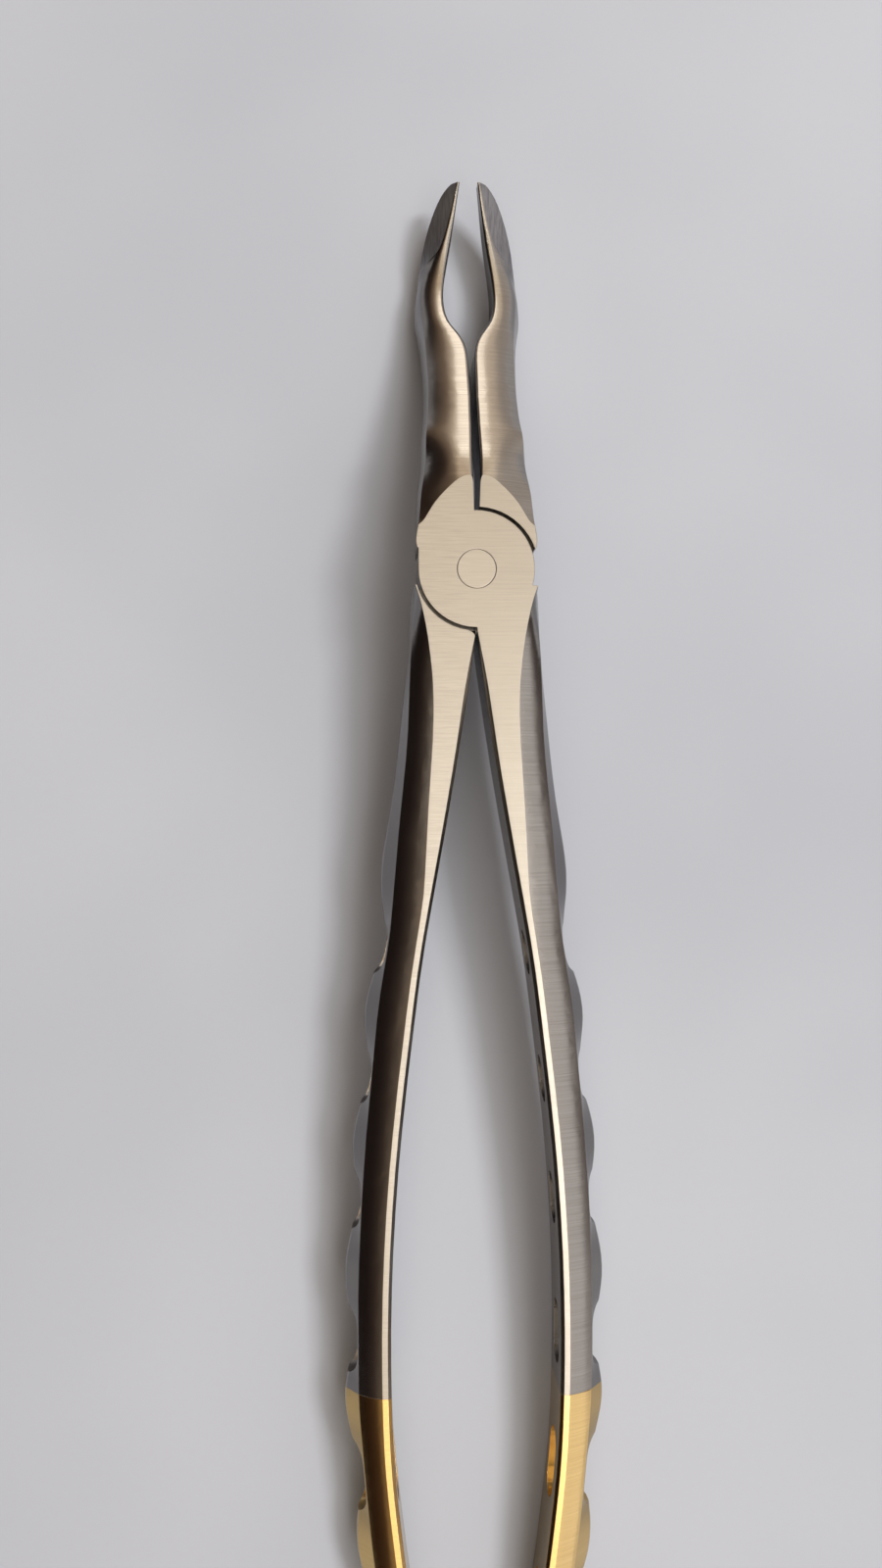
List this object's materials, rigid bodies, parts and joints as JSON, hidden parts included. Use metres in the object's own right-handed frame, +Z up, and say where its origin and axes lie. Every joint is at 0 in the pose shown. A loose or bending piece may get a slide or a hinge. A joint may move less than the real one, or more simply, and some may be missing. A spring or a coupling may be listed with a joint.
{
  "type": "dental extraction forceps",
  "caption": "Forged steel pliers with a flush riveted lap joint, tapering beaks bent out of the handle plane, scalloped windowed handles and gold-coloured ends.",
  "frame": {"origin": "on the rivet axis, in the bottom flat face of the joint", "axes": "+Z up along the rivet, +Y from the joint towards the beaks, handles towards -Y, +X to the right seen from above with the beaks away"},
  "size_m": [0.0308, 0.1828, 0.0202],
  "materials": {
    "lever_steel": "satin brushed, polished at the edges",
    "gilt": "polished gold-coloured plating",
    "rivet_steel": "ground flush with the joint face"
  },
  "bodies": {
    "lower": {"lower_lever": "lever_steel", "lower_gilt_end": "gilt", "rivet": "rivet_steel"},
    "upper": {"upper_lever": "lever_steel", "upper_gilt_end": "gilt"}
  },
  "joints": [
    {"name": "rivet_hinge", "type": "hinge", "parent": "lower", "child": "upper", "pos_m": [0, 0, 0.0045], "axis": [0, 0, 1], "range_deg": [-1.4, 30]}
  ]
}
